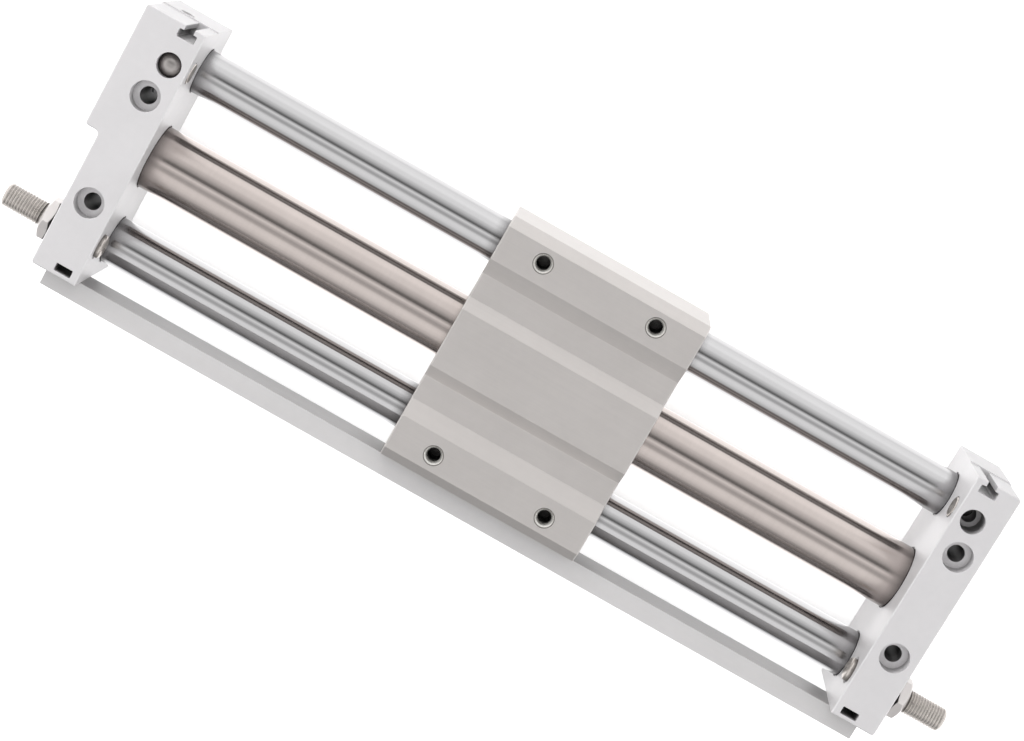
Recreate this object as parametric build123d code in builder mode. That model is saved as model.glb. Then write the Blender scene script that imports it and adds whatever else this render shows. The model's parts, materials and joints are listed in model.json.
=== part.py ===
from build123d import *
from math import cos, radians, tan
import os

# Magnetically coupled rodless cylinder with a slide block on two guide shafts.
# Millimetres. X runs along the cylinder, +Y towards the hollow shaft, +Z up.
# The origin lies on the mounting plane, midway between the end plates.

# Travel
stroke = 200.0
slider_length = 70.0
bolt_reach = 2.0  # how far each adjusting bolt stands in from its plate
slider_rest = 7.0  # where the block's middle is at rest

# End plates
plate_thickness = 15.5
boss_thickness = 20.5  # the left plate's upper half
boss_step_y = 2.3
plate_reach = 44.5  # from the middle plane to each end face
plate_height = 44.5
plate_corner = 1.0
end_step = 0.4  # how far the +Y end faces stand out in their lower part
end_step_height = 24.0
plate_chamfer = 0.3  # round the top's outline
boss_fillet = 1.5

# Heights and side steps of the axes
shaft_height = 19.0
shaft_offset = 8.75  # from half the plates' reach out to a shaft's axis
tube_height = 22.75
bolt_drop = 8.0  # from the plates' top down to the bolts' axes

# Shafts and tube
hollow_shaft_diameter = 15.0
hollow_shaft_bore = 6.0
solid_shaft_diameter = 16.0
tube_bore = 20.0
tube_wall = 0.8
shaft_seat = 10.0  # how deep the shafts go into the plates
tube_seat = 8.0
pick_slack = 0.1  # when corners are picked by their place
seat_play = 0.02  # radial play of pieces that are seated for good
seat_lead = 0.4  # wider mouth round each seat
seat_lead_depth = 0.5

# Seals between the plates and what they carry
gasket_height = 1.4
gasket_width = 2.0
gasket_inset = 2.6  # from the inner face to the middle of the groove

# Mounting holes, bottom to top through the plates
mount_inset = 8.0  # from the plates' inner faces
mount_step = 12.0  # from a shaft's axis in to the holes beside it
mount_hole = 5.6
mount_sink = 9.8
mount_sink_depth = 5.2

# Air passages
port_inset = 6.0
port_diameter = 8.0
port_depth = 10.0
pilot_diameter = 5.0
end_cavity_diameter = 16.0
end_cavity_depth = 5.5  # left, past the tube's seat
port_cavity_depth = 1.5  # right, where the tube's own port leads out
cross_drill = 3.5
cross_inset = 12.0
cross_height = 20.5
side_port_diameter = 4.2
ball_recess = 0.6
plug_diameter = 7.5
plug_depth = 1.2
cross_plug_diameter = 4.8

# Slots in the plates' two ends
slot_inset = 5.3
t_head_width = 6.2
t_head_depth = 2.7
t_neck_width = 3.3
t_neck_depth = 1.7
t_head_corner = 0.5
nut_slot_width = 5.8
nut_slot_depth = 2.6
nut_slot_wall = 1.35
nut_slot_corner = 0.4

# Adjusting bolts and their nuts
bolt_diameter = 8.0
bolt_length = 35.5
bolt_dome = 1.2
bolt_chamfer = 0.8
bolt_socket = 4.0
bolt_socket_depth = 5.0
bolt_play = 0.06
lock_nut_flats = 13.0
lock_nut_thickness = 4.0
lock_nut_face_step = 0.3

# Set screws under the shafts
set_screw_diameter = 5.0
set_screw_socket = 2.5
set_screw_socket_depth = 3.0
set_screw_recess = 1.0

# Switch rail, its screws and nuts
rail_width = 6.5
rail_depth = 14.0
rail_top = 37.0
rail_overrun = 11.3  # how far the rail runs past the plates' inner faces
rail_mouth = 4.2
rail_lip = 1.6
rail_head = 7.2
rail_head_depth = 2.2
rail_screw_diameter = 3.0
rail_screw_head = 5.5
rail_screw_head_height = 1.8
rail_screw_socket = 2.0
rail_screw_past_nut = 0.8
rail_screw_play = 0.1
rail_nut_flats = 5.5
rail_nut_thickness = 2.4
rail_hole_play = 0.2

# Slide block
block_base = 1.0
block_top = 45.4
block_side_gap = 1.1  # from the block's side to the plates' end faces and the rail
block_chamfer_width = 3.4
block_chamfer_drop = 2.8
block_end_chamfer = 0.3
lug_width = 15.0
lug_slope = 5.65  # across the cylinder
groove_drop = 3.4
crown_half = 10.2
crown_slope = 4.1
crown_drop = 0.8
flank_room = 15.7  # from a shaft's axis out plus down to the flank's slope
flank_inset = 6.0
block_hole_pitch_x = 40.0
block_hole_inset = 8.4  # from the block's side
block_hole = 5.0
block_hole_mouth = 6.8
block_hole_depth = 12.0

# Bushes on the shafts
bush_wall = 2.0
bush_length = 22.0
bush_inset = 1.5
running_play = 0.05

# Coupling: rings outside the tube, rings inside it
magnet_count = 4
magnet_length = 6.0
yoke_length = 3.5
sleeve_length = 58.0
sleeve_wall = 2.0
outer_ring_wall = 3.7
coupling_gap = 0.5  # between the rings and the tube, inside and outside
yoke_step = 0.1  # how much nearer to the tube a yoke comes than a magnet
wear_ring_play = 0.06
circlip_width = 1.5
circlip_bite = 1.0
circlip_height = 3.0
circlip_gap = 24.0  # degrees left open
switch_magnet_diameter = 6.0
switch_magnet_length = 4.0
switch_magnet_height = 30.0

# Piston unit
piston_shaft_diameter = 6.0
piston_length = 12.0
piston_shaft_chamfer = 0.5
piston_play = 0.4
seal_width = 3.0
seal_inset = 2.0
seal_height = 2.0
piston_ring_width = 3.0
piston_ring_inset = 7.0
piston_nut_flats = 10.0
piston_nut_thickness = 3.0
bumper_thickness = 2.0
bumper_diameter = 15.0

# Places that follow from the sizes above
plate_gap = stroke + slider_length + 2 * bolt_reach
inner_face = plate_gap / 2
outer_face = inner_face + plate_thickness
rail_length = 2 * (inner_face + rail_overrun)
tube_radius = tube_bore / 2 + tube_wall
shaft_side = plate_reach / 2 + shaft_offset
mount_side = shaft_side - mount_step
block_reach = plate_reach - block_side_gap
lower_reach = plate_reach + end_step
bolt_height = plate_height - bolt_drop
flank_bottom = shaft_height + block_reach - shaft_side - flank_room
lug_inner = block_reach - lug_width
block_hole_pitch_y = 2 * (block_reach - block_hole_inset)
block_left = slider_rest - slider_length / 2
block_right = slider_rest + slider_length / 2
stack_length = magnet_count * magnet_length + (magnet_count + 1) * yoke_length
sides = {"left": -1, "right": 1}
rail_middle = rail_top - rail_depth / 2
rail_inner = -plate_reach
shafts = {
    "hollow": (shaft_side, hollow_shaft_diameter),
    "solid": (-shaft_side, solid_shaft_diameter),
}

os.makedirs("parts", exist_ok=True)


# End plates: an outline below the end face's step and one above it, then machined
plate_levels = (
    (lower_reach, 0, end_step_height),
    (plate_reach, end_step_height, plate_height),
)
for name, side in sides.items():
    outward = Plane(origin=(0, 0, 0), x_dir=(0, 1, 0), z_dir=(side, 0, 0))
    with BuildPart() as end_plate:
        for reach, bottom, top in plate_levels:
            with BuildSketch(Plane.XY.offset(bottom)):
                with Locations((side * (inner_face + plate_thickness / 2), (reach - plate_reach) / 2)):
                    Rectangle(plate_thickness, plate_reach + reach)
                if side < 0:
                    boss_middle = (boss_step_y + reach) / 2
                    with Locations((side * (inner_face + boss_thickness / 2), boss_middle)):
                        Rectangle(boss_thickness, reach - boss_step_y)
                    at_step = vertices().filter_by_position(
                        Axis.Y, boss_step_y - pick_slack, boss_step_y + pick_slack
                    )
                    fillet(at_step.sort_by(Axis.X)[-1], radius=boss_fillet)
                away = [corner for corner in vertices() if abs(corner.X) > inner_face + pick_slack]
                in_boss = outer_face + boss_fillet + pick_slack
                in_end = plate_reach - pick_slack
                corners = [
                    corner for corner in away if abs(corner.Y) > in_end or abs(corner.X) > in_boss
                ]
                fillet(corners, radius=plate_corner)
            extrude(amount=top - bottom)

        # Seats for the two shafts, each with a wider mouth
        for shaft_y, shaft_diameter in shafts.values():
            seat_radius = shaft_diameter / 2 + seat_play
            with Locations(Plane(origin=(side * inner_face, shaft_y, shaft_height), z_dir=(-side, 0, 0))):
                Hole(radius=seat_radius, depth=shaft_seat)
                Hole(radius=seat_radius + seat_lead, depth=seat_lead_depth)

        # Seat for the tube, its gasket groove and the chamber past its end
        with Locations(Plane(origin=(side * inner_face, 0, tube_height), z_dir=(-side, 0, 0))):
            Hole(radius=tube_radius + seat_play, depth=tube_seat)
            Hole(radius=tube_radius + seat_play + seat_lead, depth=seat_lead_depth)
            cavity_depth = end_cavity_depth if side < 0 else port_cavity_depth
            Hole(radius=end_cavity_diameter / 2, depth=tube_seat + cavity_depth)
        groove_start = side * (inner_face + gasket_inset - gasket_width / 2)
        with BuildSketch(outward.offset(abs(groove_start))):
            with Locations(outward.to_local_coords(Vector(0, 0, tube_height))):
                Circle(tube_radius + gasket_height)
        extrude(amount=gasket_width, mode=Mode.SUBTRACT)
        with BuildSketch(outward.offset(abs(groove_start))):
            with Locations(outward.to_local_coords(Vector(0, shaft_side, shaft_height))):
                Circle(hollow_shaft_diameter / 2 + gasket_height)
        extrude(amount=gasket_width, mode=Mode.SUBTRACT)

        # Counterbored holes that bolt the cylinder down, from the top face
        for hole_y in (mount_side, -mount_side):
            with Locations((side * (inner_face + mount_inset), hole_y, plate_height)):
                CounterBoreHole(
                    radius=mount_hole / 2,
                    counter_bore_radius=mount_sink / 2,
                    counter_bore_depth=mount_sink_depth,
                    depth=plate_height,
                )

        # Upright air hole over the hollow shaft, narrower below
        with Locations((side * (inner_face + port_inset), shaft_side, plate_height)):
            Hole(radius=port_diameter / 2, depth=port_depth)
            Hole(radius=pilot_diameter / 2, depth=plate_height - shaft_height)

        # Blind hole for the flush plug in the inner face
        with Locations(Plane(origin=(side * inner_face, shaft_side, bolt_height), z_dir=(-side, 0, 0))):
            Hole(radius=plug_diameter / 2 + seat_play, depth=plug_depth)

        # Threaded hole for the adjusting bolt, at its thread's outside size
        with Locations(Plane(origin=(side * inner_face, -shaft_side, bolt_height), z_dir=(-side, 0, 0))):
            CounterSinkHole(
                radius=bolt_diameter / 2 + bolt_play,
                counter_sink_radius=bolt_diameter / 2 + bolt_chamfer,
                depth=plate_thickness,
                counter_sink_angle=90,
            )

        # Holes for the shafts' set screws, from below
        for shaft_y, shaft_diameter in shafts.values():
            with Locations(Plane(origin=(side * (inner_face + mount_inset), shaft_y, 0), z_dir=(0, 0, -1))):
                Hole(radius=set_screw_diameter / 2 + seat_play, depth=shaft_height - shaft_diameter / 4)

        # T slot in the end face by the hollow shaft, from the top down to the step
        slot_x = side * (inner_face + slot_inset)
        with BuildSketch(Plane.XY.offset(end_step_height)):
            with Locations((slot_x, plate_reach - t_neck_depth - t_head_depth / 2)):
                RectangleRounded(t_head_width, t_head_depth, t_head_corner)
            with Locations((slot_x, plate_reach - (t_neck_depth + t_head_corner) / 2)):
                Rectangle(t_neck_width, t_neck_depth + t_head_corner)
        extrude(amount=plate_height - end_step_height, mode=Mode.SUBTRACT)

        # Pocket for the rail's square nut in the other end, open at the top
        nut_middle = -plate_reach + nut_slot_wall + nut_slot_depth / 2
        nut_slot_floor = rail_middle - rail_nut_flats / 2
        with BuildSketch(Plane.XY.offset(plate_height)):
            with Locations((slot_x, nut_middle)):
                RectangleRounded(nut_slot_width, nut_slot_depth, nut_slot_corner)
        extrude(amount=-(plate_height - nut_slot_floor), mode=Mode.SUBTRACT)
        with Locations(Plane(origin=(slot_x, -plate_reach, rail_middle), z_dir=(0, -1, 0))):
            Hole(
                radius=rail_screw_diameter / 2 + rail_hole_play,
                depth=nut_slot_wall + nut_slot_depth + rail_screw_past_nut,
            )

        # Left: cross drilling from the end face to the tube's end chamber
        if side < 0:
            cross_x = side * (inner_face + cross_inset)
            with Locations(Plane(origin=(cross_x, lower_reach, cross_height), z_dir=(0, 1, 0))):
                Hole(radius=cross_drill / 2, depth=lower_reach)
                Hole(radius=cross_plug_diameter / 2 + seat_play, depth=cross_plug_diameter)
            shaft_end = (side * inner_face, shaft_side, shaft_height)
            with Locations(Plane(origin=shaft_end, z_dir=(-side, 0, 0))):
                Hole(radius=hollow_shaft_bore / 2, depth=cross_inset + cross_drill / 2)
        # Right: the tube's own port in the outer face
        else:
            with Locations(Plane(origin=(side * outer_face, 0, tube_height), z_dir=(side, 0, 0))):
                Hole(radius=side_port_diameter / 2, depth=plate_thickness - tube_seat)

        # The top's outline is chamfered, apart from the T slot's own edges
        rim = end_plate.faces().sort_by(Axis.Z)[-1].outer_wire().edges()
        slot_half = t_head_width / 2 + t_head_corner
        slot_edges = rim.filter_by_position(Axis.X, slot_x - slot_half, slot_x + slot_half)
        slot_edges = slot_edges.filter_by_position(Axis.Y, boss_step_y, plate_reach - t_neck_depth / 4)
        chamfer(rim - slot_edges, length=plate_chamfer)
    end_plate.part.label = f"end_plate_{name}"
    export_step(end_plate.part, f"parts/end_plate_{name}.step")


# Cylinder tube between the plates
tube_length = plate_gap + 2 * tube_seat
with BuildPart() as cylinder_tube:
    with BuildSketch(Plane.YZ.offset(-tube_length / 2)):
        with Locations((0, tube_height)):
            Circle(tube_radius)
            Circle(tube_bore / 2, mode=Mode.SUBTRACT)
    extrude(amount=tube_length)
cylinder_tube.part.label = "cylinder_tube"
export_step(cylinder_tube.part, "parts/cylinder_tube.step")

# Guide shafts, chamfered at both ends
shaft_length = plate_gap + 2 * shaft_seat
shaft_chamfer = 0.8
with BuildPart() as guide_shaft_hollow:
    with BuildSketch(Plane.YZ.offset(-shaft_length / 2)):
        with Locations((shaft_side, shaft_height)):
            Circle(hollow_shaft_diameter / 2)
    extrude(amount=shaft_length)
    chamfer(guide_shaft_hollow.edges().filter_by(GeomType.CIRCLE), length=shaft_chamfer)
    with BuildSketch(Plane.YZ.offset(-shaft_length / 2)):
        with Locations((shaft_side, shaft_height)):
            Circle(hollow_shaft_bore / 2)
    extrude(amount=shaft_length, mode=Mode.SUBTRACT)
    for side in sides.values():
        air_hole_x = side * (inner_face + port_inset)
        with Locations((air_hole_x, shaft_side, shaft_height + hollow_shaft_diameter / 2)):
            Hole(radius=pilot_diameter / 2, depth=hollow_shaft_diameter / 2)
guide_shaft_hollow.part.label = "guide_shaft_hollow"
export_step(guide_shaft_hollow.part, "parts/guide_shaft_hollow.step")

with BuildPart() as guide_shaft_solid:
    with BuildSketch(Plane.YZ.offset(-shaft_length / 2)):
        with Locations((-shaft_side, shaft_height)):
            Circle(solid_shaft_diameter / 2)
    extrude(amount=shaft_length)
    chamfer(guide_shaft_solid.edges().filter_by(GeomType.CIRCLE), length=shaft_chamfer)
guide_shaft_solid.part.label = "guide_shaft_solid"
export_step(guide_shaft_solid.part, "parts/guide_shaft_solid.step")


# Gaskets in the plates' grooves
for name, side in sides.items():
    gasket_x = side * (inner_face + gasket_inset)
    with BuildPart() as tube_gasket:
        with BuildSketch(Plane.YZ.offset(gasket_x)):
            with Locations((0, tube_height)):
                Circle(tube_radius + gasket_height - seat_play)
                Circle(tube_radius + seat_play, mode=Mode.SUBTRACT)
        extrude(amount=gasket_width / 2 - seat_play, both=True)
    tube_gasket.part.label = f"tube_gasket_{name}"
    export_step(tube_gasket.part, f"parts/tube_gasket_{name}.step")
    with BuildPart() as shaft_gasket:
        with BuildSketch(Plane.YZ.offset(gasket_x)):
            with Locations((shaft_side, shaft_height)):
                Circle(hollow_shaft_diameter / 2 + gasket_height - seat_play)
                Circle(hollow_shaft_diameter / 2 + seat_play, mode=Mode.SUBTRACT)
        extrude(amount=gasket_width / 2 - seat_play, both=True)
    shaft_gasket.part.label = f"shaft_gasket_{name}"
    export_step(shaft_gasket.part, f"parts/shaft_gasket_{name}.step")


# Set screws that clamp the shafts from below, all four in one node
with BuildPart() as shaft_set_screws:
    for side in sides.values():
        for shaft_y, shaft_diameter in shafts.values():
            screw_place = (side * (inner_face + mount_inset), shaft_y)
            screw_top = shaft_height - shaft_diameter / 2
            with BuildSketch(Plane.XY.offset(set_screw_recess)):
                with Locations(screw_place):
                    Circle(set_screw_diameter / 2)
            extrude(amount=screw_top - set_screw_recess)
            with BuildSketch(Plane.XY.offset(set_screw_recess)):
                with Locations(screw_place):
                    RegularPolygon(set_screw_socket / 2, 6, major_radius=False)
            extrude(amount=set_screw_socket_depth, mode=Mode.SUBTRACT)
shaft_set_screws.part.label = "shaft_set_screws"
export_step(shaft_set_screws.part, "parts/shaft_set_screws.step")


# Steel ball pressed in the left plate's upright hole
ball_radius = port_diameter / 2 - seat_play
with BuildPart() as port_ball_plug:
    ball_height = plate_height - ball_recess - ball_radius
    with Locations((-(inner_face + port_inset), shaft_side, ball_height)):
        Sphere(ball_radius)
port_ball_plug.part.label = "port_ball_plug"
export_step(port_ball_plug.part, "parts/port_ball_plug.step")

# Ball in the cross drilling's mouth
with BuildPart() as cross_plug:
    cross_plug_y = lower_reach - cross_plug_diameter / 2 - ball_recess / 2
    with Locations((-(inner_face + cross_inset), cross_plug_y, cross_height)):
        Sphere(cross_plug_diameter / 2)
cross_plug.part.label = "cross_plug"
export_step(cross_plug.part, "parts/cross_plug.step")

# Flush discs in the inner faces, both in one node
with BuildPart() as passage_plugs:
    for side in sides.values():
        with BuildSketch(Plane(origin=(side * inner_face, shaft_side, bolt_height), z_dir=(side, 0, 0))):
            Circle(plug_diameter / 2)
        extrude(amount=plug_depth)
passage_plugs.part.label = "passage_plugs"
export_step(passage_plugs.part, "parts/passage_plugs.step")


# Adjusting bolts: round tip inside, hexagon socket in the outer end
bolt_tip = inner_face - bolt_reach
bolt_radius = bolt_diameter / 2
dome_edge = bolt_radius - bolt_chamfer
for name, side in sides.items():
    bolt_plane = Plane(origin=(0, -shaft_side, bolt_height), x_dir=(side, 0, 0), z_dir=(0, side, 0))
    with BuildPart() as adjust_bolt:
        with BuildSketch(bolt_plane):
            with BuildLine():
                tip = (bolt_tip, 0)
                shoulder = (bolt_tip + bolt_dome, bolt_radius)
                RadiusArc(tip, shoulder, (bolt_radius**2 + bolt_dome**2) / (2 * bolt_dome))
                end = bolt_tip + bolt_length
                Polyline(
                    shoulder,
                    (end - bolt_chamfer, bolt_radius),
                    (end, dome_edge),
                    (end, 0),
                    tip,
                )
            make_face()
        revolve(axis=Axis((0, -shaft_side, bolt_height), (1, 0, 0)))
        outer_end = Plane(
            origin=(side * (bolt_tip + bolt_length), -shaft_side, bolt_height), z_dir=(-side, 0, 0)
        )
        with BuildSketch(outer_end):
            RegularPolygon(bolt_socket / 2, 6, major_radius=False)
        extrude(amount=bolt_socket_depth, mode=Mode.SUBTRACT)
    adjust_bolt.part.label = f"adjust_bolt_{name}"
    export_step(adjust_bolt.part, f"parts/adjust_bolt_{name}.step")

# Lock nuts: a hexagon whose corners are turned off by a cone on both faces
nut_radius = lock_nut_flats / 2
nut_corner = nut_radius / cos(radians(30))
nut_face_radius = nut_radius - lock_nut_face_step
cone_height = (nut_corner - nut_face_radius) * tan(radians(30))
for name, side in sides.items():
    nut_plane = Plane(
        origin=(side * outer_face, -shaft_side, bolt_height), x_dir=(0, 1, 0), z_dir=(side, 0, 0)
    )
    turning_plane = Plane(
        origin=(side * outer_face, -shaft_side, bolt_height), x_dir=(side, 0, 0), z_dir=(0, side, 0)
    )
    with BuildPart() as lock_nut:
        with BuildSketch(nut_plane):
            RegularPolygon(nut_radius, 6, major_radius=False, rotation=30)
        extrude(amount=lock_nut_thickness)
        with BuildSketch(turning_plane):
            with BuildLine():
                Polyline(
                    (0, 0),
                    (0, nut_face_radius),
                    (cone_height, nut_corner),
                    (lock_nut_thickness - cone_height, nut_corner),
                    (lock_nut_thickness, nut_face_radius),
                    (lock_nut_thickness, 0),
                    (0, 0),
                )
            make_face()
        revolve(axis=Axis((0, -shaft_side, bolt_height), (1, 0, 0)), mode=Mode.INTERSECT)
        with BuildSketch(nut_plane):
            Circle(bolt_radius + bolt_play)
        extrude(amount=lock_nut_thickness, mode=Mode.SUBTRACT)
    lock_nut.part.label = f"lock_nut_{name}"
    export_step(lock_nut.part, f"parts/lock_nut_{name}.step")


# Switch rail: one section with a T groove, drawn out along the cylinder
rail_screw_x = inner_face + slot_inset
with BuildPart() as switch_rail:
    with BuildSketch(Plane.YZ.offset(-rail_length / 2)):
        with Locations((rail_inner - rail_width / 2, rail_middle)):
            Rectangle(rail_width, rail_depth)
        rail_outer = rail_inner - rail_width
        with Locations((rail_outer + rail_lip / 2, rail_middle)):
            Rectangle(rail_lip, rail_mouth, mode=Mode.SUBTRACT)
        with Locations((rail_outer + rail_lip + rail_head_depth / 2, rail_middle)):
            Rectangle(rail_head_depth, rail_head, mode=Mode.SUBTRACT)
    extrude(amount=rail_length)
    for side in sides.values():
        with Locations(Plane(origin=(side * rail_screw_x, rail_outer, rail_middle), z_dir=(0, -1, 0))):
            Hole(radius=rail_screw_diameter / 2 + rail_hole_play, depth=rail_width)
switch_rail.part.label = "switch_rail"
export_step(switch_rail.part, "parts/switch_rail.step")

# Rail screws: low round heads that lie in the groove's wide part
screw_seat = rail_outer + rail_lip + rail_head_depth
nut_inner = -plate_reach + nut_slot_wall + (nut_slot_depth + rail_nut_thickness) / 2
screw_end = nut_inner + rail_screw_past_nut - rail_screw_play
with BuildPart() as rail_screws:
    for side in sides.values():
        screw_plane = Plane(origin=(side * rail_screw_x, screw_seat, rail_middle), z_dir=(0, -1, 0))
        with BuildSketch(screw_plane):
            Circle(rail_screw_head / 2)
        extrude(amount=rail_screw_head_height)
        with BuildSketch(screw_plane):
            Circle(rail_screw_diameter / 2)
        extrude(amount=-(screw_end - screw_seat))
        with BuildSketch(screw_plane.offset(rail_screw_head_height)):
            RegularPolygon(rail_screw_socket / 2, 6, major_radius=False)
        extrude(amount=-rail_screw_head_height / 2, mode=Mode.SUBTRACT)
rail_screws.part.label = "rail_screws"
export_step(rail_screws.part, "parts/rail_screws.step")

with BuildPart() as rail_nuts:
    for side in sides.values():
        nut_plane = Plane(origin=(side * rail_screw_x, nut_inner, rail_middle), z_dir=(0, -1, 0))
        with BuildSketch(nut_plane):
            Rectangle(rail_nut_flats, rail_nut_flats)
            Circle(rail_screw_diameter / 2 + seat_play, mode=Mode.SUBTRACT)
        extrude(amount=rail_nut_thickness)
rail_nuts.part.label = "rail_nuts"
export_step(rail_nuts.part, "parts/rail_nuts.step")


# Slide block: half of its section is drawn and mirrored
groove_outer = lug_inner - lug_slope
groove_floor = block_top - groove_drop
sleeve_radius = tube_radius + coupling_gap + outer_ring_wall + sleeve_wall
with BuildPart() as slide_block:
    with BuildSketch(Plane.YZ.offset(block_left)):
        with BuildLine():
            Polyline(
                (0, block_top - crown_drop),
                (crown_half, block_top - crown_drop),
                (crown_half + crown_slope, groove_floor),
                (groove_outer, groove_floor),
                (lug_inner, block_top),
                (block_reach - block_chamfer_width, block_top),
                (block_reach, block_top - block_chamfer_drop),
                (block_reach, flank_bottom),
                (block_reach - flank_inset, flank_bottom - flank_inset),
                (block_reach - flank_inset, block_base),
                (0, block_base),
                (0, block_top - crown_drop),
            )
        make_face()
        mirror(about=Plane.YZ)
    extrude(amount=slider_length)
    ends = slide_block.faces().filter_by(Axis.X)
    end_edges = [edge for end in ends for edge in end.outer_wire().edges()]
    chamfer(end_edges, length=block_end_chamfer)
    with Locations(Plane(origin=(block_left, 0, tube_height), z_dir=(-1, 0, 0))):
        Hole(radius=sleeve_radius + seat_play, depth=slider_length)
    ring_starts = (
        slider_rest - sleeve_length / 2 - circlip_width,
        slider_rest + sleeve_length / 2,
    )
    for ring_start in ring_starts:
        with BuildSketch(Plane.YZ.offset(ring_start)):
            with Locations((0, tube_height)):
                Circle(sleeve_radius + circlip_bite + seat_play)
        extrude(amount=circlip_width, mode=Mode.SUBTRACT)
    for shaft_y, shaft_diameter in shafts.values():
        with Locations(Plane(origin=(block_left, shaft_y, shaft_height), z_dir=(-1, 0, 0))):
            Hole(radius=shaft_diameter / 2 + bush_wall + seat_play, depth=slider_length)
    with Locations(Plane.XY.offset(block_top)):
        with Locations((slider_rest, 0)):
            with GridLocations(block_hole_pitch_x, block_hole_pitch_y, 2, 2):
                CounterSinkHole(
                    radius=block_hole / 2,
                    counter_sink_radius=block_hole_mouth / 2,
                    depth=block_hole_depth,
                    counter_sink_angle=90,
                )
    with Locations(Plane(origin=(slider_rest, -block_reach, switch_magnet_height), z_dir=(0, -1, 0))):
        Hole(radius=switch_magnet_diameter / 2 + seat_play, depth=switch_magnet_length)
slide_block.part.label = "slide_block"
export_step(slide_block.part, "parts/slide_block.step")

# Bushes: two on each shaft, one near each end of the block
bush_starts = (block_left + bush_inset, block_right - bush_inset - bush_length)
bush_number = 0
for shaft_y, shaft_diameter in shafts.values():
    for bush_start in bush_starts:
        bush_number += 1
        with BuildPart() as slide_bush:
            with BuildSketch(Plane.YZ.offset(bush_start)):
                with Locations((shaft_y, shaft_height)):
                    Circle(shaft_diameter / 2 + bush_wall)
                    Circle(shaft_diameter / 2 + running_play, mode=Mode.SUBTRACT)
            extrude(amount=bush_length)
        slide_bush.part.label = f"slide_bush_{bush_number}"
        export_step(slide_bush.part, f"parts/slide_bush_{bush_number}.step")

# Sleeve that holds the outer stack
sleeve_bore = sleeve_radius - sleeve_wall
with BuildPart() as magnet_sleeve:
    with BuildSketch(Plane.YZ.offset(slider_rest - sleeve_length / 2)):
        with Locations((0, tube_height)):
            Circle(sleeve_radius)
            Circle(sleeve_bore, mode=Mode.SUBTRACT)
    extrude(amount=sleeve_length)
magnet_sleeve.part.label = "magnet_sleeve"
export_step(magnet_sleeve.part, "parts/magnet_sleeve.step")

# Retaining rings at the sleeve's two ends, open at the bottom
for name, ring_start in zip(sides, ring_starts):
    with BuildPart() as sleeve_ring:
        with BuildSketch(Plane.YZ.offset(ring_start)):
            with Locations((0, tube_height)):
                Circle(sleeve_radius + circlip_bite)
                Circle(sleeve_radius + circlip_bite - circlip_height, mode=Mode.SUBTRACT)
            with BuildLine():
                gap_reach = 2 * sleeve_radius
                left_cheek = PolarLine((0, tube_height), gap_reach, -90 - circlip_gap / 2)
                right_cheek = PolarLine((0, tube_height), gap_reach, -90 + circlip_gap / 2)
                Line(left_cheek @ 1, right_cheek @ 1)
            make_face(mode=Mode.SUBTRACT)
        extrude(amount=circlip_width)
    sleeve_ring.part.label = f"sleeve_ring_{name}"
    export_step(sleeve_ring.part, f"parts/sleeve_ring_{name}.step")


# Rings of the coupling, one stack outside the tube and one inside
outer_rings = sleeve_bore - seat_play
outer_bore = tube_radius + coupling_gap
inner_rings = tube_bore / 2 - coupling_gap
shaft_fit = piston_shaft_diameter / 2 + seat_play
stack_start = slider_rest - stack_length / 2
ring_pitch = magnet_length + yoke_length
for number in range(1, magnet_count + 2):
    yoke_start = stack_start + (number - 1) * ring_pitch
    with BuildPart() as outer_yoke:
        with BuildSketch(Plane.YZ.offset(yoke_start)):
            with Locations((0, tube_height)):
                Circle(outer_rings)
                Circle(outer_bore - yoke_step, mode=Mode.SUBTRACT)
        extrude(amount=yoke_length)
    outer_yoke.part.label = f"outer_yoke_{number}"
    export_step(outer_yoke.part, f"parts/outer_yoke_{number}.step")
    with BuildPart() as inner_yoke:
        with BuildSketch(Plane.YZ.offset(yoke_start)):
            with Locations((0, tube_height)):
                Circle(inner_rings + yoke_step)
                Circle(shaft_fit, mode=Mode.SUBTRACT)
        extrude(amount=yoke_length)
    inner_yoke.part.label = f"inner_yoke_{number}"
    export_step(inner_yoke.part, f"parts/inner_yoke_{number}.step")
for number in range(1, magnet_count + 1):
    magnet_start = stack_start + yoke_length + (number - 1) * ring_pitch
    with BuildPart() as outer_magnet:
        with BuildSketch(Plane.YZ.offset(magnet_start)):
            with Locations((0, tube_height)):
                Circle(outer_rings)
                Circle(outer_bore, mode=Mode.SUBTRACT)
        extrude(amount=magnet_length)
    outer_magnet.part.label = f"outer_magnet_{number}"
    export_step(outer_magnet.part, f"parts/outer_magnet_{number}.step")
    with BuildPart() as inner_magnet:
        with BuildSketch(Plane.YZ.offset(magnet_start)):
            with Locations((0, tube_height)):
                Circle(inner_rings)
                Circle(shaft_fit, mode=Mode.SUBTRACT)
        extrude(amount=magnet_length)
    inner_magnet.part.label = f"inner_magnet_{number}"
    export_step(inner_magnet.part, f"parts/inner_magnet_{number}.step")

# Wear rings fill the sleeve from the stack to its ends and run on the tube
for name, side in sides.items():
    ring_length = (sleeve_length - stack_length) / 2
    stack_end = slider_rest + side * stack_length / 2
    with BuildPart() as outer_wear_ring:
        with BuildSketch(Plane(origin=(stack_end, 0, tube_height), z_dir=(side, 0, 0))):
            Circle(outer_rings)
            Circle(tube_radius + wear_ring_play, mode=Mode.SUBTRACT)
        extrude(amount=ring_length)
    outer_wear_ring.part.label = f"outer_wear_ring_{name}"
    export_step(outer_wear_ring.part, f"parts/outer_wear_ring_{name}.step")

# Magnet for the rail's position switches
with BuildPart() as switch_magnet:
    with BuildSketch(
        Plane(origin=(slider_rest, -block_reach, switch_magnet_height), z_dir=(0, 1, 0))
    ):
        Circle(switch_magnet_diameter / 2)
    extrude(amount=switch_magnet_length)
switch_magnet.part.label = "switch_magnet"
export_step(switch_magnet.part, "parts/switch_magnet.step")


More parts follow.
